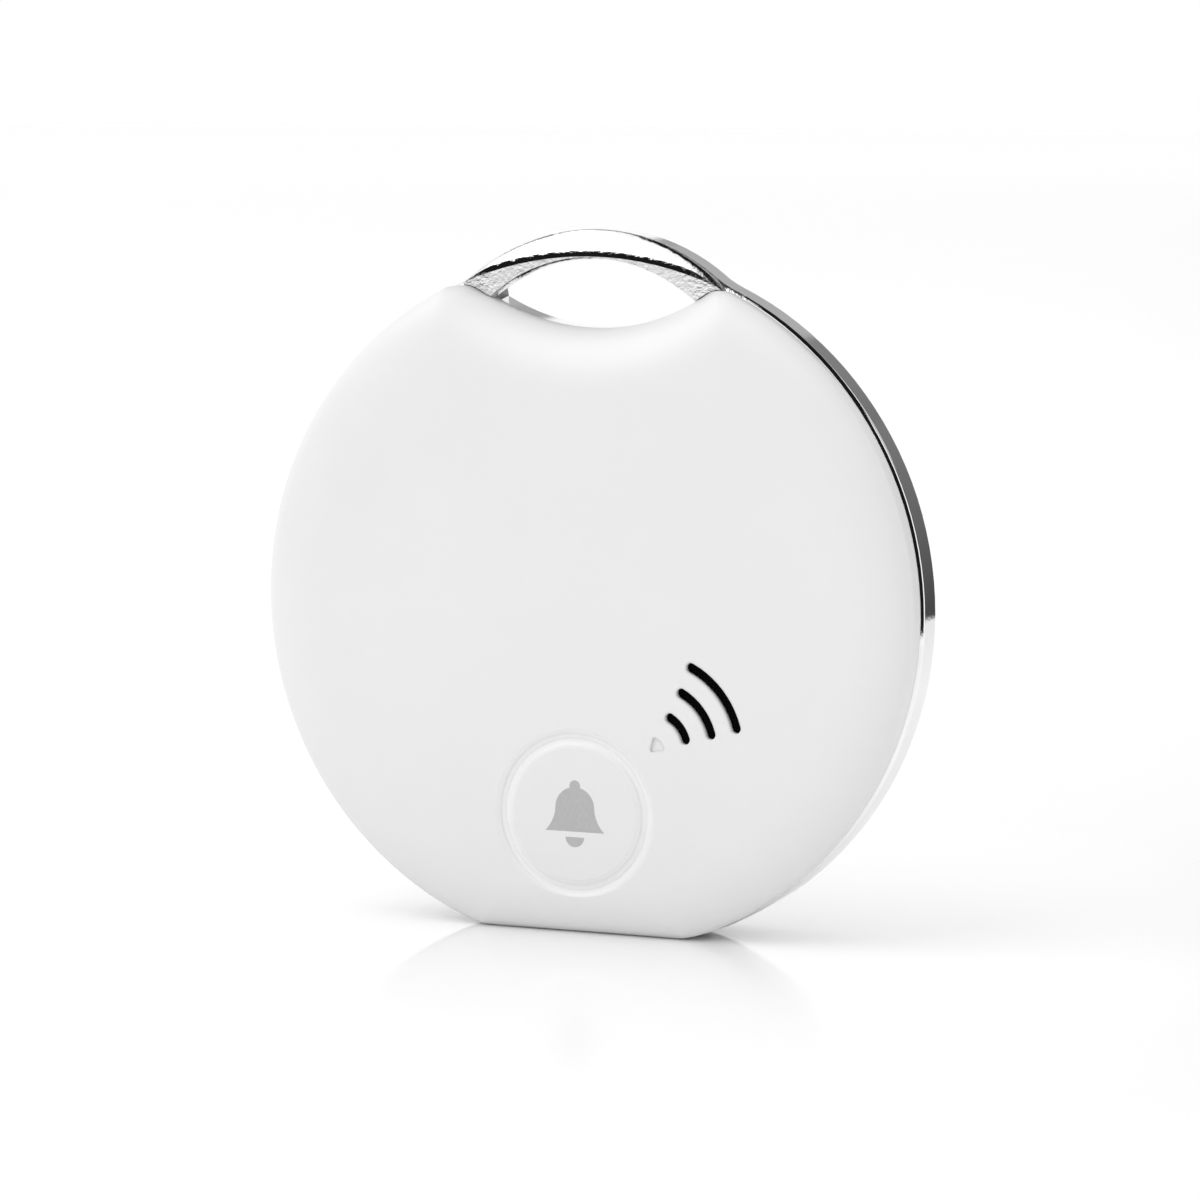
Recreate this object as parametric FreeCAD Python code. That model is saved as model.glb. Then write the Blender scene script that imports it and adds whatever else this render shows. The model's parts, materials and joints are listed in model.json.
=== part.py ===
import FreeCAD, Part
import math
import os
from FreeCAD import Vector

# Bluetooth tracker tag: a white disc with a flat foot, a chrome edge frame that rises into
# a key loop, a push button, sound slots, and a coin cell behind a snap-off rear cover.
#
# Millimetres. X is the width, +Z is up from the foot, and the front faces -Y.
# "Depth" is measured backwards from the front face, so depth 0 is y = -DEPTH / 2.

# ---------------------------------------------------------------- driving dimensions

DEPTH = 6.8                  # front face to rear face
DISC_Z = 17.9                # height of the disc's centre above the foot
BODY_R = 19.0                # outside radius of the chrome frame
FOOT_CORNER_R = 7.5          # rounding where the round edge meets the foot

COVER_R = 18.92              # front cover, a hair inside the frame
COVER_SIDE_BACK = 2.3        # depth where the cover's side wall ends
COVER_WALL = 0.9             # thickness of the cover's front wall
COVER_SIDE_WALL = 1.62
RIM_RADIAL = 3.2             # soft rim: how far in from the edge it starts
RIM_DEPTH = 1.35             # soft rim: how far back it falls
FOOT_RADIAL = 2.6            # the same rounding along the foot

CRESCENT_Z = DISC_Z + 27.15  # centre of the arc cut into the top of the disc
CRESCENT_R = 12.2
CRESCENT_RADIAL = 3.6        # soft rim along that arc
CRESCENT_DEPTH = 2.6
CRESCENT_BACK = 3.1          # depth where the cover's edge meets the chrome
CRESCENT_WALL = 1.2
HORN_R = 1.8                 # rounding of the cover's two top corners

FRAME_FRONT = 2.55
FRAME_BACK = 4.7
FRAME_WALL = 1.05
FRAME_FRONT_ROUND = 0.35
FRAME_BACK_ROUND = 0.3

LOOP_Z = DISC_Z + 9.1        # centre of the loop's arcs
LOOP_OUT_R = 11.2
LOOP_IN_R = 9.47
LOOP_CREST = 2.05            # depth of the crest along the loop's front
LOOP_FALL = 0.7              # how far its outer face falls back from the crest
LOOP_SLOPE = 0.2             # and how steeply its inner face does
LOOP_CREST_ROUND = 0.55
LOOP_LIP = 2.85              # depth of its inner lip
NECK_R = 5.0                 # concave blend from loop to disc

REAR_R = 18.2
REAR_FRONT = 4.75
REAR_WALL = 0.7
REAR_ROUND = 1.0
REAR_INSET = 0.8
LIP_DEPTH = 0.7              # how far a cover's lip reaches into the frame
LIP_WALL = 0.6
NOTCH_ANGLE = -52            # pry notch, degrees round from +X
NOTCH_R = 2.0

BUTTON_Z = DISC_Z - 11.25
BUTTON_R = 4.14              # at the bottom of the groove
BUTTON_GAP = 0.02
BUTTON_WALL = 0.7
GROOVE_HALF = 0.54
GROOVE_DEPTH = 0.2
WEB_REACH = 1.0              # rubber ring, each side of the gap
MARK_DEPTH = 0.03            # printed bell on the button

SOUND_X = 4.6                # common centre of the slots' arcs
SOUND_Z = DISC_Z - 7.35
SLOT_W = 0.58
SLOT_WALL = 0.35             # the cover is thinner round the slots
MESH_X = 7.45
MESH_Z = DISC_Z - 4.95
MESH_R = 3.3
SLOTS = [(4.92, 15.5, 64), (3.42, 15.5, 62), (1.9, 17, 60)]   # mean radius, from, to

PCB_FRONT = 2.05
PCB_BACK = 2.65
PCB_R = 16.6
CELL_FRONT = 2.85
CELL_BACK = 6.05
CELL_R = 10.0                # CR2032: 20 mm across, 3.2 mm thick
CELL_Z = DISC_Z + 1.5
CELL_SKIN = 0.25
POCKET_R = 10.28
POCKET_WALL = 0.8

PIEZO_X = 8.4
PIEZO_Z = DISC_Z - 4.2
PIEZO_R = 5.0
PIEZO_FRONT = 1.35

SCREWS = [(-14.2, 14.5), (13.9, 23.5), (8.0, 4.9)]
BOSS_R = 1.5

# ---------------------------------------------------------------- helpers


def y_at(depth):
    """The y of a depth behind the front face."""
    return depth - DEPTH / 2


def disc(radius, x, z, front, back):
    """A round plate between two depths."""
    return Part.makeCylinder(radius, back - front, Vector(x, y_at(front), z), Vector(0, 1, 0))


def tube(outer, inner, x, z, front, back):
    return disc(outer, x, z, front, back).cut(disc(inner, x, z, front - 1, back + 1))


def block(x, z, width, height, front, back):
    """A rectangular block centred on x and z."""
    corner = Vector(x - width / 2, y_at(front), z - height / 2)
    return Part.makeBox(width, back - front, height, corner)


def above(z, front=-5, back=15):
    """Everything higher than z."""
    return block(0, z + 40, 90, 80, front, back)


def line(p, q):
    return Part.makeLine(Vector(*p, 0), Vector(*q, 0))


def path(*points):
    """Straight edges through points."""
    return [line(p, q) for p, q in zip(points, points[1:])]


def soft(p, corner, q, pull=0.56):
    """A curve from p to q that rounds off the corner between them."""
    poles = [Vector(*p, 0),
             Vector(p[0] + (corner[0] - p[0]) * pull, p[1] + (corner[1] - p[1]) * pull, 0),
             Vector(q[0] + (corner[0] - q[0]) * pull, q[1] + (corner[1] - q[1]) * pull, 0),
             Vector(*q, 0)]
    curve = Part.BezierCurve()
    curve.setPoles(poles)
    return curve.toShape()


def arc(p, middle, q):
    return Part.Arc(Vector(*p, 0), Vector(*middle, 0), Vector(*q, 0)).toShape()


def turned(x, z, edges):
    """Revolve a closed (radius, depth) profile about the front-to-back axis at x, z."""
    face = Part.Face(Part.Wire(edges))
    face.translate(Vector(x, y_at(0), z))
    return face.revolve(Vector(x, 0, z), Vector(0, 1, 0), 360)


def plate(edges, x, z, front, back):
    """Extrude a closed (x, z) outline between two depths."""
    face = Part.Face(Part.Wire(edges))
    face.rotate(Vector(0, 0, 0), Vector(1, 0, 0), 90)
    face.translate(Vector(x, y_at(front), z))
    return face.extrude(Vector(0, back - front, 0))


def union(shapes):
    result = shapes[0]
    for shape in shapes[1:]:
        result = result.fuse(shape)
    return result.removeSplitter()


def upright_edges(shape, z, span=0.05):
    """The straight front-to-back edges at a height."""
    found = []
    for edge in shape.Edges:
        ends = [v.Point for v in edge.Vertexes]
        if len(ends) == 2 and abs(ends[0].x - ends[1].x) + abs(ends[0].z - ends[1].z) < 1e-4:
            if abs(ends[0].z - z) < span:
                found.append(edge)
    return found


def disc_with_foot(radius, foot, front, back):
    """The round outline cut flat along the foot, with its two corners rounded."""
    solid = disc(radius, 0, DISC_Z, front, back).common(above(foot))
    return solid.makeFillet(FOOT_CORNER_R, upright_edges(solid, foot))


def crescent(radius, front=-2, back=12):
    """The cylinder that cuts the crescent out of the top."""
    return disc(radius, 0, CRESCENT_Z, front, back)


def cover_plan(radius, edge, front, back):
    """The front cover's outline as a plate: round, with the foot, crescent and two horns."""
    plan = disc_with_foot(radius, 0, front, back).cut(crescent(edge))
    gap = CRESCENT_Z - DISC_Z
    tip = DISC_Z + (gap * gap + radius ** 2 - edge ** 2) / (2 * gap)
    return plan.makeFillet(HORN_R, upright_edges(plan, tip))


def export(name, shape):
    shape.exportStep("parts/" + name + ".step")


# ---------------------------------------------------------------- covers and frame


def soft_form(inset, top, side, back):
    """The front cover's rounded form, moved in by inset, its face at depth top."""
    radius = COVER_R - side
    body = turned(0, DISC_Z, [
        line((0, top), (COVER_R - RIM_RADIAL - inset, top)),
        soft((COVER_R - RIM_RADIAL - inset, top), (radius, top), (radius, top + RIM_DEPTH)),
        *path((radius, top + RIM_DEPTH), (radius, back), (0, back), (0, top))])
    body = body.common(disc_with_foot(radius, side if inset else 0, -1, back + 1))

    foot = side if inset else 0
    slab = Part.Face(Part.Wire([
        soft((foot, top + RIM_DEPTH), (foot, top), (foot + FOOT_RADIAL, top)),
        *path((foot + FOOT_RADIAL, top), (60, top), (60, back), (foot, back),
              (foot, top + RIM_DEPTH))]))
    slab.rotate(Vector(0, 0, 0), Vector(0, 1, 0), -90)
    slab.translate(Vector(30, y_at(0), 0))
    body = body.common(slab.extrude(Vector(-60, 0, 0)))

    edge = CRESCENT_R + (CRESCENT_WALL if inset else 0)
    return body.cut(turned(0, CRESCENT_Z, [
        line((0, top - 3), (edge + CRESCENT_RADIAL, top - 3)),
        line((edge + CRESCENT_RADIAL, top - 3), (edge + CRESCENT_RADIAL, top)),
        soft((edge + CRESCENT_RADIAL, top), (edge, top), (edge, top + CRESCENT_DEPTH)),
        *path((edge, top + CRESCENT_DEPTH), (edge, back + 1), (0, back + 1), (0, top - 3))]))


def front_cover():
    shell = soft_form(0, 0, 0, CRESCENT_BACK)
    shell = shell.common(cover_plan(COVER_R, CRESCENT_R, -1, CRESCENT_BACK + 1))
    shell = shell.cut(soft_form(COVER_WALL, COVER_WALL, COVER_SIDE_WALL, CRESCENT_BACK + 0.1))
    outside_lip = disc(30, 0, DISC_Z, COVER_SIDE_BACK, CRESCENT_BACK + 1)
    lip = disc_with_foot(BODY_R - FRAME_WALL - 0.06, FRAME_WALL + 0.06, 0, CRESCENT_BACK + 1)
    shell = shell.cut(outside_lip.cut(lip))

    for x, z in SCREWS:
        boss = disc(BOSS_R, x, z, COVER_WALL - 0.2, PCB_FRONT)
        shell = shell.fuse(boss.cut(disc(0.55, x, z, COVER_WALL + 0.1, 5)))

    shell = shell.cut(disc(BUTTON_R + WEB_REACH + 0.1, 0, BUTTON_Z, COVER_WALL, PCB_FRONT))
    outer = BUTTON_R + BUTTON_GAP
    rim = BUTTON_R + GROOVE_HALF
    middle = (outer + rim) / 2
    shell = shell.cut(disc(outer, 0, BUTTON_Z, -1, 2))
    shell = shell.cut(turned(0, BUTTON_Z, [
        *path((0, -1), (rim, -1), (rim, 0)),
        soft((rim, 0), (middle, 0), (middle, GROOVE_DEPTH / 2), 0.4),
        soft((middle, GROOVE_DEPTH / 2), (middle, GROOVE_DEPTH), (outer, GROOVE_DEPTH), 0.4),
        *path((outer, GROOVE_DEPTH), (0, GROOVE_DEPTH), (0, -1))]))

    shell = shell.cut(disc(MESH_R + 0.05, MESH_X, MESH_Z, SLOT_WALL, PCB_FRONT))
    for radius, start, end in SLOTS:
        shell = shell.cut(sound_slot(radius, start, end, -0.5, 1.5))
    return shell.cut(sound_dot())


def sound_slot(radius, start, end, front, back):
    """One arc-shaped slot with round ends."""
    half = SLOT_W / 2
    a, b, m = [math.radians(t) for t in (start, end, (start + end) / 2)]

    def polar(r, t):
        return (r * math.cos(t), r * math.sin(t))

    def cap(t, side):
        beyond = t + side * half / radius
        return arc(polar(radius - half, t), polar(radius, beyond), polar(radius + half, t))

    edges = [arc(polar(radius - half, a), polar(radius - half, m), polar(radius - half, b)),
             cap(b, 1),
             arc(polar(radius + half, b), polar(radius + half, m), polar(radius + half, a)),
             cap(a, -1)]
    return plate(Part.__sortEdges__(edges), SOUND_X, SOUND_Z, front, back)


def sound_dot():
    """The shallow fan-shaped dimple that the slots spread from."""
    reach, deep = 0.86, 0.12
    a, m, b = [(reach * math.cos(math.radians(t)), reach * math.sin(math.radians(t)))
               for t in (8, 42, 76)]
    fan = plate([line((0, 0), a), arc(a, m, b), line(b, (0, 0))],
                SOUND_X - 0.22, SOUND_Z - 0.25, -0.5, deep)
    corners = [e for e in fan.Edges if abs(e.Length - 0.5 - deep) < 1e-4]
    return fan.makeFillet(0.12, corners)


def loop_bar():
    """The loop as a ring: it falls away both sides of a crest, and bevels down into the hole."""
    outer, inner = LOOP_OUT_R - 0.02, LOOP_IN_R
    shoulder = (inner + 0.6, LOOP_CREST - 0.2)
    bevel = turned(0, LOOP_Z, [
        line((inner, FRAME_BACK - 0.25), (inner, LOOP_LIP)),
        soft((inner, LOOP_LIP), (inner + 0.1, LOOP_CREST - 0.05), shoulder, 0.7),
        *path(shoulder, (outer, shoulder[1]), (outer, FRAME_BACK - 0.6),
              (inner + 0.25, FRAME_BACK), (inner, FRAME_BACK - 0.25))])
    crest_r = BODY_R + 0.02
    start = (crest_r - 5, LOOP_CREST + 5 * LOOP_SLOPE)
    crown = turned(0, DISC_Z, path(
        start, (crest_r, LOOP_CREST), (crest_r + 1.6, LOOP_CREST + LOOP_FALL),
        (crest_r + 1.6, FRAME_BACK), (crest_r - 5, FRAME_BACK), start))
    ring = bevel.common(crown).common(above(DISC_Z + 12))

    def on_crest(point):
        reach = math.hypot(point.x, point.z - DISC_Z)
        return abs(reach - crest_r) < 1e-3 and abs(point.y - y_at(LOOP_CREST)) < 1e-3

    crest = [e for e in ring.Edges if all(on_crest(v.Point) for v in e.Vertexes)]
    return ring.makeFillet(LOOP_CREST_ROUND, crest)


def chrome_frame():
    outline = disc(BODY_R, 0, DISC_Z, FRAME_FRONT, FRAME_BACK)
    loop_disc = disc(LOOP_OUT_R, 0, LOOP_Z, FRAME_FRONT, FRAME_BACK)
    body = outline.fuse(loop_disc).removeSplitter()
    gap = LOOP_Z - DISC_Z
    neck = (gap * gap + BODY_R ** 2 - LOOP_OUT_R ** 2) / (2 * gap)
    body = body.makeFillet(NECK_R, upright_edges(body, DISC_Z + neck))
    body = body.common(above(0))
    body = body.makeFillet(FOOT_CORNER_R, upright_edges(body, 0))
    body = body.removeSplitter()
    for depth, size in ((FRAME_FRONT, FRAME_FRONT_ROUND), (FRAME_BACK, FRAME_BACK_ROUND)):
        rim = [e for e in body.Edges
               if all(abs(v.Y - y_at(depth)) < 1e-4 for v in e.Vertexes)]
        body = body.makeFillet(size, rim)

    # The loop's own front replaces the flat plate above the crescent.
    seat = cover_plan(COVER_R + 0.05, CRESCENT_R - 0.04, 0, CRESCENT_BACK + 0.05)
    top = crescent(CRESCENT_R - 0.04)
    eye = disc(LOOP_OUT_R - 0.3, 0, LOOP_Z, 0, FRAME_BACK - 0.4).common(top)
    body = body.cut(eye).fuse(loop_bar().cut(seat)).removeSplitter()

    # Hollow for the covers and what they hold.
    hollow = disc_with_foot(BODY_R - FRAME_WALL, FRAME_WALL, 0, 8)
    body = body.cut(hollow.common(seat))
    body = body.cut(hollow.cut(crescent(CRESCENT_R + CRESCENT_WALL)))
    hole = disc(LOOP_IN_R, 0, LOOP_Z, -2, 8).common(crescent(CRESCENT_R))
    return body.cut(hole)


def rear_form(radius, foot, edge, front, back, rounding):
    """A solid of the rear cover's outline, rounded towards the back."""
    body = turned(0, DISC_Z, [
        *path((0, back), (0, front), (radius, front), (radius, back - rounding)),
        soft((radius, back - rounding), (radius, back), (radius - rounding, back)),
        line((radius - rounding, back), (0, back))])
    body = body.common(above(foot))
    return body.cut(turned(0, CRESCENT_Z, [
        *path((0, back + 1), (0, front - 1), (edge, front - 1), (edge, back - rounding)),
        soft((edge, back - rounding), (edge, back), (edge + rounding, back)),
        *path((edge + rounding, back), (edge + rounding, back + 1), (0, back + 1))]))


def rear_cover():
    edge = CRESCENT_R + REAR_INSET
    shell = rear_form(REAR_R, 0, edge, REAR_FRONT, DEPTH, REAR_ROUND)
    lip_r = BODY_R - FRAME_WALL - 0.06
    lip = disc_with_foot(lip_r, FRAME_WALL + 0.06, REAR_FRONT - LIP_DEPTH, REAR_FRONT + 0.4)
    lip = lip.cut(crescent(CRESCENT_R + CRESCENT_WALL + 0.06))
    shell = shell.fuse(lip)
    inside = disc_with_foot(lip_r - LIP_WALL, FRAME_WALL + LIP_WALL, 0, DEPTH - REAR_WALL)
    shell = shell.cut(inside.cut(crescent(CRESCENT_R + CRESCENT_WALL + LIP_WALL)))
    angle = math.radians(NOTCH_ANGLE)
    x = (REAR_R + 1.0) * math.cos(angle)
    z = DISC_Z + (REAR_R + 1.0) * math.sin(angle)
    return shell.cut(disc(NOTCH_R, x, z, REAR_FRONT - 0.01, REAR_FRONT + 0.75))


# ---------------------------------------------------------------- button and switch


def button_cap():
    rim = BUTTON_R - GROOVE_HALF
    middle = (BUTTON_R + rim) / 2
    cap = turned(0, BUTTON_Z, [
        *path((0, BUTTON_WALL), (0, 0), (rim, 0)),
        soft((rim, 0), (middle, 0), (middle, GROOVE_DEPTH / 2), 0.4),
        soft((middle, GROOVE_DEPTH / 2), (middle, GROOVE_DEPTH), (BUTTON_R, GROOVE_DEPTH), 0.4),
        *path((BUTTON_R, GROOVE_DEPTH), (BUTTON_R, BUTTON_WALL), (0, BUTTON_WALL))])
    nub = disc(0.7, 0, BUTTON_Z, BUTTON_WALL - 0.1, 1.18)
    return cap.fuse(nub).cut(button_mark())


def button_mark():
    """A plain bell: the button rings the paired phone."""
    half = 1.75
    bell = [line((-half, -0.95), (half, -0.95)),
            soft((half, -0.95), (1.15, -0.45), (1.15, 0.35)),
            arc((1.15, 0.35), (0, 1.5), (-1.15, 0.35)),
            soft((-1.15, 0.35), (-1.15, -0.45), (-half, -0.95))]
    clapper = [line((-0.55, -1.25), (0.55, -1.25)),
               arc((0.55, -1.25), (0, -1.8), (-0.55, -1.25))]
    knob = disc(0.32, 0, BUTTON_Z + 1.55, 0, MARK_DEPTH)
    return union([plate(bell, 0, BUTTON_Z, 0, MARK_DEPTH), knob,
                  plate(clapper, 0, BUTTON_Z, 0, MARK_DEPTH)])


def button_web():
    """The thin rubber ring that joins the button to the cover."""
    inner, outer = BUTTON_R - WEB_REACH, BUTTON_R + WEB_REACH
    return turned(0, BUTTON_Z, path(
        (inner, BUTTON_WALL + 0.01), (BUTTON_R - 0.45, BUTTON_WALL + 0.01),
        (BUTTON_R - 0.04, COVER_WALL + 0.01), (outer, COVER_WALL + 0.01),
        (outer, COVER_WALL + 0.22), (BUTTON_R - 0.08, COVER_WALL + 0.22),
        (BUTTON_R - 0.5, BUTTON_WALL + 0.22), (inner, BUTTON_WALL + 0.22),
        (inner, BUTTON_WALL + 0.01)))


def switch_body():
    body = block(0, BUTTON_Z, 3.0, 2.6, 1.45, PCB_FRONT)
    body = body.cut(disc(1.0, 0, BUTTON_Z, 1.6, 1.93))
    return body.cut(disc(0.84, 0, BUTTON_Z, 1.2, 1.8))


def switch_dome():
    """The snap dome under the plunger."""
    return turned(0, BUTTON_Z, [
        soft((0, 1.76), (0.6, 1.76), (0.95, 1.87)), line((0.95, 1.87), (0.95, 1.92)),
        soft((0.95, 1.92), (0.6, 1.81), (0, 1.81)), line((0, 1.81), (0, 1.76))])


def switch_plunger():
    return disc(0.8, 0, BUTTON_Z, 1.2, 1.72)


# ---------------------------------------------------------------- sounder


def sound_mesh():
    return disc(MESH_R, MESH_X, MESH_Z, SLOT_WALL, SLOT_WALL + 0.12)


def piezo_gasket():
    return tube(PIEZO_R, PIEZO_R - 0.5, PIEZO_X, PIEZO_Z, COVER_WALL, PIEZO_FRONT)


def piezo_plate():
    return disc(PIEZO_R, PIEZO_X, PIEZO_Z, PIEZO_FRONT, PIEZO_FRONT + 0.2)


def piezo_ceramic():
    return disc(3.5, PIEZO_X, PIEZO_Z, PIEZO_FRONT + 0.2, PIEZO_FRONT + 0.35)


def piezo_contacts():
    """Two leaf springs from the board: one to the ceramic, one to the plate."""
    springs = []
    for x, touch in ((PIEZO_X - 0.6, PIEZO_FRONT + 0.35), (PIEZO_X + 4.1, PIEZO_FRONT + 0.2)):
        foot = block(x, PIEZO_Z, 0.9, 1.6, PCB_FRONT - 0.12, PCB_FRONT)
        riser = block(x, PIEZO_Z - 0.74, 0.9, 0.12, touch, PCB_FRONT)
        tongue = block(x, PIEZO_Z - 0.2, 0.9, 1.2, touch, touch + 0.1)
        springs.append(foot.fuse(riser).fuse(tongue).removeSplitter())
    return Part.makeCompound(springs)


# ---------------------------------------------------------------- electronics


def board_outline(radius, front, back):
    """The board's plan: round, with the crescent and the foot cut away."""
    plan = disc(radius, 0, DISC_Z, front, back).common(above(DISC_Z - radius + 0.9))
    return plan.cut(crescent(CRESCENT_R + CRESCENT_WALL + 0.9))


def pcb():
    board = board_outline(PCB_R, PCB_FRONT, PCB_BACK)
    for x, z in SCREWS:
        board = board.cut(disc(0.85, x, z, 0, 5))
    return board


def on_board(x, z, width, height, tall):
    """A component on the front of the board."""
    return block(x, z, width, height, PCB_FRONT - tall, PCB_FRONT)


def passives():
    """Small resistors and capacitors round the radio chip and the switch."""
    spots = [(-10.2, 17.2 + 1.3 * i) for i in range(5)]
    spots += [(-2.6, 17.0 + 1.2 * i) for i in range(3)]
    spots += [(-8.6 + 1.6 * i, 24.6) for i in range(4)]
    spots += [(3.4, 21.5 + 1.3 * i) for i in range(3)]
    return Part.makeCompound([on_board(x, z, 1.0, 0.5, 0.5) for x, z in spots])


def chassis():
    """The moulded tray that clamps the board and cups the coin cell."""
    plan = board_outline(PCB_R + 0.4, PCB_BACK + 0.05, 3.4)
    wall = disc(POCKET_R + POCKET_WALL, 0, CELL_Z, 3.2, 5.9)
    tray = plan.fuse(wall).cut(disc(POCKET_R, 0, CELL_Z, 0, 8))
    for x in (-1, 1):
        tray = tray.cut(block(x * 10.5, CELL_Z, 4, 7, 4.4, 7))
    for x, z in SCREWS:
        tray = tray.cut(disc(0.85, x, z, 0, 5))
    return tray


def screws():
    made = []
    for x, z in SCREWS:
        shank = disc(0.5, x, z, 1.15, 3.4)
        head = disc(1.2, x, z, 3.4, 3.95)
        slot = block(x, z, 0.25, 1.6, 3.75, 4.2)
        cross = block(x, z, 1.6, 0.25, 3.75, 4.2)
        made.append(shank.fuse(head).cut(slot).cut(cross))
    return Part.makeCompound(made)


def contact_negative():
    """A three-armed leaf on the board under the cell."""
    leaf = disc(1.6, 0, CELL_Z, PCB_BACK, PCB_BACK + 0.15)
    for i in range(3):
        arm = block(0, CELL_Z + 2.6, 1.3, 3.6, PCB_BACK, PCB_BACK + 0.15)
        arm.rotate(Vector(0, 0, CELL_Z), Vector(0, 1, 0), 120 * i)
        leaf = leaf.fuse(arm)
    return leaf.removeSplitter()


def sector(radius, inner, x, z, start, sweep, front, back):
    """Part of a tube, between two angles."""
    face = Part.Face(Part.Wire(path((inner, front), (radius, front), (radius, back),
                                    (inner, back), (inner, front))))
    face.translate(Vector(x, y_at(0), z))
    face.rotate(Vector(x, 0, z), Vector(0, 1, 0), -start)
    return face.revolve(Vector(x, 0, z), Vector(0, 1, 0), -sweep)


def contact_positive():
    """A curved leaf against the cell's side, with a tab down to the board."""
    outer, inner = POCKET_R - 0.04, CELL_R + 0.08
    leaf = sector(outer, inner, 0, CELL_Z, 205, 50, 3.0, 5.0)
    tab = sector(outer, inner, 0, CELL_Z, 223, 14, PCB_BACK, 3.1)
    return leaf.fuse(tab).removeSplitter()


# ---------------------------------------------------------------- coin cell


def cell_can():
    """The cup, open to the front, with a rolled edge."""
    r = CELL_R
    front = CELL_FRONT + 0.2
    return turned(0, CELL_Z, [
        *path((0, CELL_BACK - CELL_SKIN), (0, CELL_BACK), (r - 0.3, CELL_BACK)),
        soft((r - 0.3, CELL_BACK), (r, CELL_BACK), (r, CELL_BACK - 0.3)),
        line((r, CELL_BACK - 0.3), (r, front + 0.4)),
        soft((r, front + 0.4), (r, front), (r - 0.5, front)),
        *path((r - 0.5, front), (r - 0.9, front), (r - 0.9, front + CELL_SKIN),
              (r - CELL_SKIN, front + CELL_SKIN + 0.2),
              (r - CELL_SKIN, CELL_BACK - CELL_SKIN), (0, CELL_BACK - CELL_SKIN))])


def cell_lid():
    """The smaller cap that is the cell's negative face."""
    r = CELL_R - 1.25
    front = CELL_FRONT
    return turned(0, CELL_Z, [
        *path((0, front + CELL_SKIN), (0, front), (r - 0.3, front)),
        soft((r - 0.3, front), (r, front), (r, front + 0.3)),
        *path((r, front + 0.3), (r, front + 1.3), (r - CELL_SKIN, front + 1.3),
              (r - CELL_SKIN, front + CELL_SKIN), (0, front + CELL_SKIN))])


def cell_gasket():
    """The plastic ring between cup and cap."""
    inner, outer = CELL_R - 1.24, CELL_R - 0.92
    back = CELL_FRONT + 1.4
    return turned(0, CELL_Z, path(
        (inner, CELL_FRONT + 0.15), (outer, CELL_FRONT + 0.15), (outer, CELL_FRONT + 0.5),
        (CELL_R - CELL_SKIN - 0.02, CELL_FRONT + 0.8), (CELL_R - CELL_SKIN - 0.02, back),
        (inner, back), (inner, CELL_FRONT + 0.15)))


def cell_pellet():
    """The packed electrodes that fill the cell."""
    return disc(CELL_R - 1.25 - CELL_SKIN - 0.02, 0, CELL_Z,
                CELL_FRONT + CELL_SKIN + 0.01, CELL_BACK - CELL_SKIN - 0.01)


# ---------------------------------------------------------------- build

os.makedirs("parts", exist_ok=True)

export("front_cover", front_cover())
export("chrome_frame", chrome_frame())
export("rear_cover", rear_cover())
export("button_cap", button_cap())
export("button_mark", button_mark())
export("button_web", button_web())
export("switch_body", switch_body())
export("switch_dome", switch_dome())
export("switch_plunger", switch_plunger())
export("sound_mesh", sound_mesh())
export("piezo_gasket", piezo_gasket())
export("piezo_plate", piezo_plate())
export("piezo_ceramic", piezo_ceramic())
export("piezo_contacts", piezo_contacts())
export("pcb", pcb())
export("radio_chip", on_board(-6.4, 20.4, 5.0, 5.0, 0.85))
export("crystal_radio", on_board(-0.2, 22.9, 2.0, 1.6, 0.5))
export("crystal_clock", on_board(-6.4, 15.6, 3.2, 1.5, 0.8))
export("chip_antenna", on_board(-9.0, 27.6, 4.0, 1.6, 1.0))
export("passives", passives())
export("chassis", chassis())
export("screws", screws())
export("contact_negative", contact_negative())
export("contact_positive", contact_positive())
export("cell_can", cell_can())
export("cell_lid", cell_lid())
export("cell_gasket", cell_gasket())
export("cell_pellet", cell_pellet())
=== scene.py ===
import json
import math
import bpy
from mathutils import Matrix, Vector


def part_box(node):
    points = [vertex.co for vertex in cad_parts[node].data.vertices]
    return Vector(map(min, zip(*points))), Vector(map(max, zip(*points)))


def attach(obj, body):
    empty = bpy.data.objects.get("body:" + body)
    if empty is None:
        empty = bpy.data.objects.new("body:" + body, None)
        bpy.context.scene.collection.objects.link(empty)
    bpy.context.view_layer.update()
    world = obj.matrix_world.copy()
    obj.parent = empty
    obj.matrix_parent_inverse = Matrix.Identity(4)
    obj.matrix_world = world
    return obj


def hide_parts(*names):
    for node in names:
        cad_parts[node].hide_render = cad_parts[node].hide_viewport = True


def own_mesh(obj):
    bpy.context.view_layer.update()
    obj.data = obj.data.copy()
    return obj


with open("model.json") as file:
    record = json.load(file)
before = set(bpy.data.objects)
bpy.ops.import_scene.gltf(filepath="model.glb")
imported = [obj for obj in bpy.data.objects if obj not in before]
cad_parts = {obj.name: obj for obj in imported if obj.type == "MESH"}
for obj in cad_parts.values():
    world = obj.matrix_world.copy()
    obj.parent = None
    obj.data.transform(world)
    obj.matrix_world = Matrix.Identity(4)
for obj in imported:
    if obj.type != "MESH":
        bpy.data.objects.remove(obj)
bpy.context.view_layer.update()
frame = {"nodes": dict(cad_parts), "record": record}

MM = 0.001

# Places on the tag. All but the disc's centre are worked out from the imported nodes.
cap_low, cap_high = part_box("button_cap")
FRONT_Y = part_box("front_cover")[0].y
DISC_Z = 17.9 * MM           # height of the disc's centre above the foot
BUTTON_R = cap_high.x
BUTTON_Z = (cap_low.z + cap_high.z) / 2

# ---------------------------------------------------------------- material helpers


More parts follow.
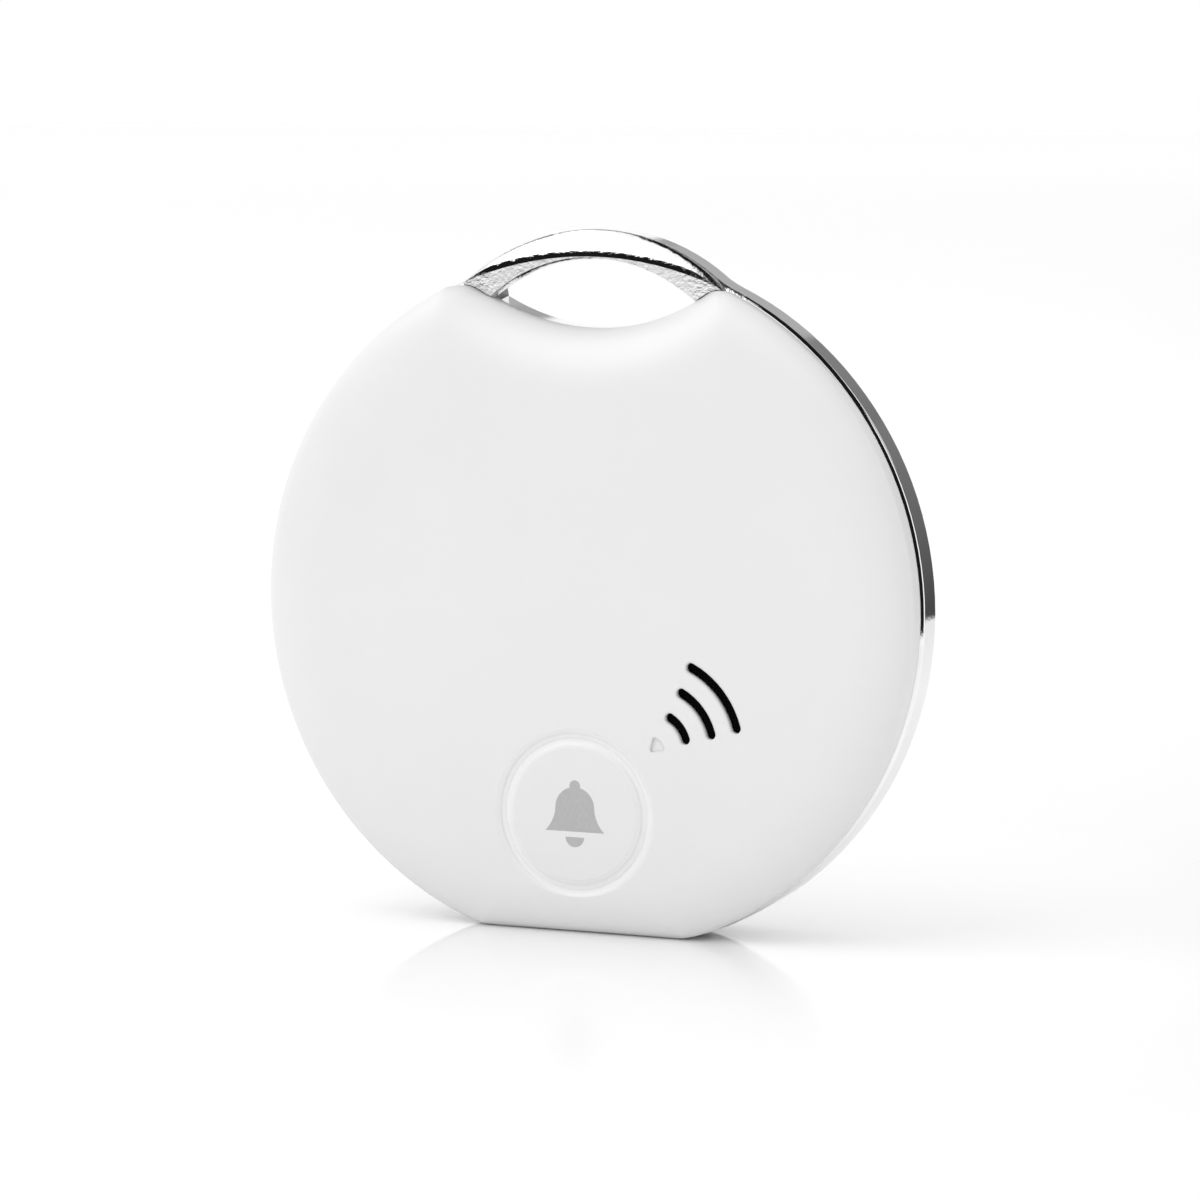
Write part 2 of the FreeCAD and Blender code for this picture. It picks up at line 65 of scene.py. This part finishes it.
class Nodes:
    """A short way to build one node tree."""

    def __init__(self, tree):
        self.tree = tree
        tree.nodes.clear()

    def add(self, kind, inputs=None, **settings):
        node = self.tree.nodes.new(kind)
        for key, value in settings.items():
            setattr(node, key, value)
        for key, value in (inputs or {}).items():
            if isinstance(value, bpy.types.NodeSocket):
                self.tree.links.new(value, node.inputs[key])
            else:
                node.inputs[key].default_value = value
        return node

    def ramp(self, factor, stops):
        node = self.add("ShaderNodeValToRGB", {"Fac": factor})
        elements = node.color_ramp.elements
        while len(elements) < len(stops):
            elements.new(0.5)
        for element, (place, colour) in zip(elements, stops):
            element.position = place
            element.color = (*colour, 1)
        return node.outputs["Color"]

    def noise(self, coords, scale, detail=3, rough=0.5):
        return self.add("ShaderNodeTexNoise", {"Vector": coords, "Scale": scale,
                                               "Detail": detail, "Roughness": rough})

    def maths(self, kind, a, b=0.0):
        return self.add("ShaderNodeMath", {0: a, 1: b}, operation=kind).outputs[0]

    def between(self, value, start, end, low, high):
        """low where value is at start or before, high where it is at end or past it."""
        return self.add("ShaderNodeMapRange", {
            "Value": value, "From Min": start, "From Max": end,
            "To Min": low, "To Max": high}).outputs["Result"]

    def mapped(self, factor, low, high):
        return self.between(factor, 0, 1, low, high)

    def blend(self, factor, first, second):
        """The first colour where factor is 0, the second where it is 1. In the Mix node, 6 and 7
        are the colours that go in, and 2 is the one that comes out."""
        return self.add("ShaderNodeMix", {"Factor": factor, 6: first, 7: second},
                        data_type="RGBA").outputs[2]

    def from_button(self, coords):
        """Distance from the button's axis."""
        flat = self.add("ShaderNodeVectorMath", {0: coords, 1: (1, 0, 1)}, operation="MULTIPLY")
        return self.add("ShaderNodeVectorMath", {0: flat.outputs[0], 1: (0, 0, BUTTON_Z)},
                        operation="DISTANCE").outputs["Value"]


def shade(colour, amount):
    return tuple(max(0.0, min(1.0, c * amount)) for c in colour)


def material(name, build):
    """A material. build(nodes, coords) adds its nodes and returns the shader's inputs by name."""
    made = bpy.data.materials.new(name)
    made.use_nodes = True
    nodes = Nodes(made.node_tree)
    coords = nodes.add("ShaderNodeTexCoord").outputs["Object"]
    shader = nodes.add("ShaderNodeBsdfPrincipled")
    nodes.add("ShaderNodeOutputMaterial", {"Surface": shader.outputs["BSDF"]})
    for key, value in build(nodes, coords).items():
        if isinstance(value, bpy.types.NodeSocket):
            nodes.tree.links.new(value, shader.inputs[key])
        else:
            shader.inputs[key].default_value = value
    return made


def bump(nodes, height, distance, strength=1.0, normal=None):
    inputs = {"Height": height, "Distance": distance, "Strength": strength}
    if normal is not None:
        inputs["Normal"] = normal
    return nodes.add("ShaderNodeBump", inputs).outputs["Normal"]


EDGE_ROUND = 0.25 * MM       # on the shell's edges
HORN_ROUND = 1.4 * MM        # on its two top corners


def soft_edges(nodes, coords):
    """A normal that rounds the shell's edges, most at its two top corners, and not at the button."""
    height = nodes.add("ShaderNodeSeparateXYZ", {"Vector": coords}).outputs["Z"]
    radius = nodes.between(height, DISC_Z + 12 * MM, DISC_Z + 14.5 * MM, EDGE_ROUND, HORN_ROUND)
    away = nodes.between(nodes.from_button(coords), BUTTON_R + 0.7 * MM, BUTTON_R + 1.2 * MM, 0, 1)
    radius = nodes.maths("MULTIPLY", radius, away)
    return nodes.add("ShaderNodeBevel", {"Radius": radius}, samples=8).outputs["Normal"]


def moulded(colour, rough, grain_mm=0.08, depth_mm=0.002, mottle=0.02, spread=0.05, edges=None):
    """Injection-moulded plastic: a fine spark texture, a faint flow mottle, softened edges."""
    def build(nodes, coords):
        normal = edges(nodes, coords) if edges else None
        flow = nodes.noise(coords, 180, 3).outputs["Fac"]
        grain = nodes.noise(coords, 1 / (grain_mm * MM), 2, 0.6).outputs["Fac"]
        base = nodes.ramp(flow, [(0.3, shade(colour, 1 - mottle)), (0.7, shade(colour, 1 + mottle))])
        return {"Base Color": base,
                "Roughness": nodes.mapped(grain, rough - spread, rough + spread),
                "Normal": bump(nodes, grain, depth_mm * MM, normal=normal)}
    return build


def metal(colour, rough, stretch=(1, 1, 1), depth_mm=0.0015, scale=6000, mottle=0.05):
    """Bare metal with fine rolling or brushing marks along one direction."""
    def build(nodes, coords):
        lay = nodes.add("ShaderNodeMapping", {"Vector": coords, "Scale": stretch}).outputs[0]
        marks = nodes.noise(lay, scale, 4, 0.6).outputs["Fac"]
        stain = nodes.noise(coords, 350, 2).outputs["Fac"]
        base = nodes.ramp(stain, [(0.3, shade(colour, 1 - mottle)), (0.7, shade(colour, 1 + mottle))])
        return {"Base Color": base, "Metallic": 1.0,
                "Roughness": nodes.mapped(marks, rough * 0.7, rough * 1.4),
                "Normal": bump(nodes, marks, depth_mm * MM)}
    return build


RIPPLE_DEPTH = 0.07 * MM
RIPPLE_LEAST = 0.03          # share of the ripple that is left all over the plating


def chrome(nodes, coords):
    """Bright plating, smooth but for a ripple along the loop's front, which is hard to polish.
    The ripple is strongest towards the loop's two ends, and stops short of the disc's edge."""
    place = nodes.add("ShaderNodeSeparateXYZ", {"Vector": coords})
    aside = nodes.maths("ABSOLUTE", place.outputs["X"])
    amount = nodes.between(aside, 5.5 * MM, 8.0 * MM, 0.3, 1.0)
    loop_only = nodes.between(aside, 8.6 * MM, 9.0 * MM, 1.0, 0.0)
    front_only = nodes.between(place.outputs["Y"], -0.6 * MM, -0.2 * MM, 1.0, 0.0)
    top_only = nodes.between(place.outputs["Z"], DISC_Z + 14 * MM, DISC_Z + 16 * MM, 0.04, 1.0)
    ripple = nodes.noise(coords, 4500, 3, 0.6).outputs["Fac"]
    fine = nodes.noise(coords, 12000, 2, 0.6).outputs["Fac"]
    for limit in (loop_only, front_only, top_only):
        amount = nodes.maths("MULTIPLY", amount, limit)
    slow = bump(nodes, ripple, RIPPLE_DEPTH, strength=nodes.maths("ADD", amount, RIPPLE_LEAST))
    return {"Base Color": (0.92, 0.92, 0.925, 1), "Metallic": 1.0,
            "Roughness": nodes.mapped(fine, 0.03, 0.09),
            "Normal": bump(nodes, fine, 0.0008 * MM, normal=slow)}


def cloth(nodes, coords):
    """Fine black acoustic weave."""
    over = nodes.add("ShaderNodeTexWave", {"Vector": coords, "Scale": 1800},
                     bands_direction="X").outputs["Fac"]
    under = nodes.add("ShaderNodeTexWave", {"Vector": coords, "Scale": 1800},
                      bands_direction="Z").outputs["Fac"]
    weave = nodes.maths("MULTIPLY", over, under)
    return {"Base Color": nodes.ramp(weave, [(0, (0.001,) * 3), (1, (0.006,) * 3)]),
            "Roughness": 0.95, "Specular IOR Level": 0.05, "Normal": bump(nodes, weave, 0.03 * MM)}


COPPER = (0.75, 0.55, 0.2, 1)


def board(nodes, coords):
    """Solder mask over copper tracks, with small plated holes."""
    flat = nodes.add("ShaderNodeMapping", {"Vector": coords, "Scale": (1, 0, 1)}).outputs[0]
    facing = nodes.add("ShaderNodeMapping", {"Vector": coords, "Rotation": (math.pi / 2, 0, 0)})
    tracks = nodes.add("ShaderNodeTexBrick", {
        "Vector": facing.outputs[0], "Scale": 420.0, "Mortar Size": 0.06, "Color1": (0, 0, 0, 1),
        "Color2": (0.2, 0.2, 0.2, 1), "Mortar": (1, 1, 1, 1)}).outputs["Color"]
    holes = nodes.add("ShaderNodeTexVoronoi", {"Vector": flat, "Scale": 520.0}).outputs["Distance"]
    pads = nodes.ramp(holes, [(0.05, (1, 1, 1)), (0.09, (0, 0, 0))])
    mask = nodes.ramp(tracks, [(0.0, (0.012, 0.10, 0.045)), (1.0, (0.02, 0.19, 0.08))])
    return {"Base Color": nodes.blend(pads, mask, COPPER), "Metallic": pads,
            "Roughness": 0.3, "Normal": bump(nodes, tracks, 0.02 * MM)}


def ceramic(colour):
    """Unglazed ceramic with a fine speck."""
    def build(nodes, coords):
        speck = nodes.noise(coords, 9000, 4, 0.7).outputs["Fac"]
        base = nodes.ramp(speck, [(0.3, shade(colour, 0.85)), (0.7, shade(colour, 1.08))])
        return {"Base Color": base,
                "Roughness": nodes.mapped(speck, 0.5, 0.7), "Normal": bump(nodes, speck, 0.003 * MM)}
    return build


def print_ink(nodes, coords):
    """Pad print: flat grey ink with a slightly uneven lay."""
    lay = nodes.noise(coords, 5200, 3).outputs["Fac"]
    return {"Base Color": nodes.ramp(lay, [(0.3, (0.41,) * 3), (0.7, (0.445,) * 3)]),
            "Roughness": nodes.mapped(lay, 0.42, 0.55), "Normal": bump(nodes, lay, 0.001 * MM)}


WHITE = (0.745, 0.745, 0.745)
# Painted light: a lighter white for the groove round the button, in place of the light its walls
# catch.
GROOVE_PAINTED_LIGHT = (0.81, 0.81, 0.81, 1)


def shell_plastic(nodes, coords):
    """The shell's white plastic, with painted light: a lighter white in the groove round the button
    stands in for the light its walls catch.
    """
    plain = moulded(WHITE, 0.38, grain_mm=0.12, depth_mm=0.0008, mottle=0.006, edges=soft_edges)
    inputs = plain(nodes, coords)
    beside = nodes.maths("SUBTRACT", nodes.from_button(coords), BUTTON_R)
    # Painted light: the groove round the button gets the lighter white.
    groove_painted_light = nodes.between(nodes.maths("ABSOLUTE", beside), 0.2 * MM, 0.5 * MM, 1, 0)
    inputs["Base Color"] = nodes.blend(groove_painted_light, inputs["Base Color"], GROOVE_PAINTED_LIGHT)
    return inputs


LOOKS = {
    "shell_white": shell_plastic,
    "web_white": moulded(WHITE, 0.5, grain_mm=0.1, depth_mm=0.001, mottle=0.006),
    "print_grey": print_ink,
    "chrome": chrome,
    "mesh_black": cloth,
    "foam_black": moulded((0.03, 0.03, 0.03), 0.9, grain_mm=0.2, depth_mm=0.06),
    "brass": metal((0.78, 0.58, 0.25), 0.28, stretch=(1, 1, 12)),
    "ceramic_white": ceramic((0.80, 0.79, 0.74)),
    "ceramic_brown": ceramic((0.36, 0.25, 0.17)),
    "spring_metal": metal((0.74, 0.71, 0.64), 0.22, stretch=(8, 1, 1)),
    "board_green": board,
    "chip_black": moulded((0.02, 0.02, 0.022), 0.55, grain_mm=0.05, depth_mm=0.004),
    "can_metal": metal((0.78, 0.77, 0.74), 0.25, stretch=(1, 1, 10)),
    "plunger_grey": moulded((0.28, 0.28, 0.29), 0.5),
    "tray_grey": moulded((0.10, 0.10, 0.105), 0.55, grain_mm=0.1, depth_mm=0.006),
    "screw_metal": metal((0.55, 0.55, 0.57), 0.3, stretch=(1, 8, 1)),
    "cell_steel": metal((0.80, 0.80, 0.79), 0.2, stretch=(14, 1, 1), depth_mm=0.001),
    "gasket_black": moulded((0.04, 0.04, 0.04), 0.5),
    "pellet_black": moulded((0.03, 0.03, 0.03), 0.8, grain_mm=0.1, depth_mm=0.01),
}
looks = {slot: material(slot, build) for slot, build in LOOKS.items()}
for part in frame["record"]["subparts"]:
    node = frame["nodes"][part["node"]]
    node.data.materials.clear()
    node.data.materials.append(looks[part["material_slot"]])

# ---------------------------------------------------------------- button skirt


def ring(name, axis_z, inner, outer, front, back, steps=256):
    """A plain ring about a front-to-back axis at x 0, from y front to y back."""
    vertices = []
    for i in range(steps):
        turn = 2 * math.pi * i / steps
        for radius, y in ((inner, front), (outer, front), (outer, back), (inner, back)):
            vertices.append((radius * math.cos(turn), y, axis_z + radius * math.sin(turn)))
    faces = []
    for i in range(steps):
        here, there = 4 * i, 4 * ((i + 1) % steps)
        for side in range(4):
            beside = (side + 1) % 4
            faces.append((here + side, there + side, there + beside, here + beside))
    mesh = bpy.data.meshes.new(name)
    mesh.from_pydata(vertices, [], faces)
    mesh.validate()
    made = bpy.data.objects.new(name, mesh)
    bpy.context.scene.collection.objects.link(made)
    return made


# The button's moulded edge narrows the hairline round it, at the bottom of the soft groove.
SKIRT_ROOT = 0.03 * MM       # how far the skirt starts inside the button's edge
SKIRT_REACH = 0.009 * MM     # how far it stands out from that edge
SKIRT_FRONT = 0.197 * MM     # depths behind the tag's front face
SKIRT_BACK = 0.6 * MM
skirt = ring("button_skirt", BUTTON_Z, BUTTON_R - SKIRT_ROOT, BUTTON_R + SKIRT_REACH,
             FRONT_Y + SKIRT_FRONT, FRONT_Y + SKIRT_BACK)
skirt.data.materials.append(looks["shell_white"])
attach(skirt, "button")

# ---------------------------------------------------------------- parts that flex


def flexing(node):
    """A copy of a CAD piece with a mesh of its own, on the housing, in place of the hidden original.
    """
    source = frame["nodes"][node]
    copy = source.copy()
    copy.data = source.data.copy()
    copy.name = node + "_flexing"
    copy.parent = None
    copy.matrix_world = source.matrix_world
    bpy.context.scene.collection.objects.link(copy)
    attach(copy, "housing")
    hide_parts(node)
    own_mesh(copy)


flexing("button_web")
flexing("switch_dome")

# ---------------------------------------------------------------- studio

FLOOR_SIZE = 4.0


def floor_look(nodes, coords):
    """Pale board: polished by the tag and duller away from it, with painted light: its colour grows
    whiter away from the tag, so the far floor reads as white as the backdrop and the tag's shadow on
    it reads lighter.
    """
    haze = nodes.noise(coords, 60, 2).outputs["Fac"]
    away = nodes.add("ShaderNodeVectorMath", {0: coords}, operation="LENGTH").outputs["Value"]
    # Painted light: the colour runs from 0.91 by the tag to white far off, plus a faint random haze.
    painted_light_and_haze = nodes.maths("ADD", nodes.between(away, 40 * MM, 250 * MM, 0.0, 0.9),
                       nodes.maths("MULTIPLY", haze, 0.1))
    return {"Base Color": nodes.ramp(painted_light_and_haze, [(0, (0.91,) * 3), (1, (1.0,) * 3)]),
            "Roughness": nodes.between(away, 10 * MM, 60 * MM, 0.06, 0.4),
            "Specular IOR Level": 0.4}


bpy.ops.mesh.primitive_plane_add(size=FLOOR_SIZE)
floor = bpy.context.object
floor.name = "floor"
floor.data.materials.append(material("floor", floor_look))

world = bpy.data.worlds.new("studio")
bpy.context.scene.world = world
bpy.context.scene.view_settings.view_transform = "Standard"
world.use_nodes = True
sky = Nodes(world.node_tree)
background = sky.add("ShaderNodeBackground", {"Color": (1, 1, 1, 1), "Strength": 1.0})
sky.add("ShaderNodeOutputWorld", {"Surface": background.outputs[0]})

TARGET = Vector((0, FRONT_Y, DISC_Z))


def aim(item, way):
    """Turn a light or a camera to look along a direction."""
    item.rotation_mode = "QUATERNION"
    item.rotation_quaternion = way.to_track_quat("-Z", "Y")


def soft_light(name, place, size, power):
    """A square area light aimed at the disc."""
    data = bpy.data.lights.new(name, "AREA")
    data.shape = "SQUARE"
    data.size = size
    data.energy = power
    light = bpy.data.objects.new(name, data)
    bpy.context.scene.collection.objects.link(light)
    light.location = place
    aim(light, TARGET - Vector(place))


CARD_STEPS = 24
CARD_CLEARANCE = 0.3 * MM    # the least height of a card above the floor


def flag(name, turn_from, turn_to, low, high, distance, bottom, top):
    """A curved studio card round the tag that only gloss and metal reflect.
    Its angles are in degrees, and its grey runs from bottom to top."""
    vertices = []
    for i in range(CARD_STEPS + 1):
        turn = math.radians(turn_from + (turn_to - turn_from) * i / CARD_STEPS)
        for lift in (low, high):
            height = max(DISC_Z + distance * math.tan(math.radians(lift)), CARD_CLEARANCE)
            vertices.append((distance * math.sin(turn), -distance * math.cos(turn), height))
    faces = [(2 * i, 2 * i + 1, 2 * i + 3, 2 * i + 2) for i in range(CARD_STEPS)]
    mesh = bpy.data.meshes.new(name)
    mesh.from_pydata(vertices, [], faces)
    card = bpy.data.objects.new(name, mesh)
    bpy.context.scene.collection.objects.link(card)
    paint = bpy.data.materials.new(name)
    paint.use_nodes = True
    nodes = Nodes(paint.node_tree)
    along = nodes.add("ShaderNodeTexCoord").outputs["Generated"]
    height = nodes.add("ShaderNodeSeparateXYZ", {"Vector": along}).outputs["Z"]
    grey = nodes.ramp(height, [(0, (bottom,) * 3), (1, (top,) * 3)])
    glow = nodes.add("ShaderNodeEmission", {"Color": grey})
    nodes.add("ShaderNodeOutputMaterial", {"Surface": glow.outputs[0]})
    mesh.materials.append(paint)
    card.visible_camera = card.visible_diffuse = card.visible_shadow = False


soft_light("key", (-0.32, -0.28, 0.52), 0.6, 1.5)

# Each card: name, azimuths from and to, elevations from and to, distance, grey at bottom and top.
# Azimuth 0 is straight in front of the tag, and grows towards +X.
CARDS = [
    ("front_flag", -85, 40, 1, 35, 0.068, 0.01, 0.01),
    ("apron", -85, 40, -13, 1, 0.068, 0.8, 0.55),
    ("right_flag", 40, 100, -9, 75, 0.1, 0.01, 0.01),
    ("high_flag", 100, 205, 38, 80, 0.2, 0.01, 0.02),
    ("left_flag", 205, 245, 36, 50, 0.2, 0.2, 0.3),
    ("edge_flag", 126, 140, -8, 38, 0.15, 0.01, 0.03),
    ("side_flag", 140, 172, -8, 19, 0.15, 0.06, 0.2),
    ("shoulder_flag", 160, 180, 16, 36, 1.5, 0.17, 0.42),
    ("top_flag", 180, 194, 6, 36, 1.5, 0.35, 0.55),
    ("back_flag", 194, 208, 15, 32, 1.5, 0.35, 0.5),
]
for card in CARDS:
    flag(*card)

# ---------------------------------------------------------------- camera

AZIMUTH = math.radians(23.24)
ELEVATION = math.radians(6.724)
DISTANCE = 266 * MM
YAW = math.radians(-0.2965)  # the camera aims a little beside the disc's centre
PITCH = math.radians(-0.0959)
LENS = 147.98                # millimetres, on a sensor 36 wide


def direction(azimuth, elevation):
    return Vector((math.sin(azimuth) * math.cos(elevation),
                   -math.cos(azimuth) * math.cos(elevation), math.sin(elevation)))


camera_data = bpy.data.cameras.new("camera")
camera_data.sensor_width = 36
camera_data.lens = LENS
camera_data.clip_start, camera_data.clip_end = 0.01, 20
camera = bpy.data.objects.new("camera", camera_data)
bpy.context.scene.collection.objects.link(camera)
camera.location = TARGET + direction(AZIMUTH, ELEVATION) * DISTANCE
aim(camera, -direction(AZIMUTH + YAW, ELEVATION + PITCH))
bpy.context.scene.camera = camera
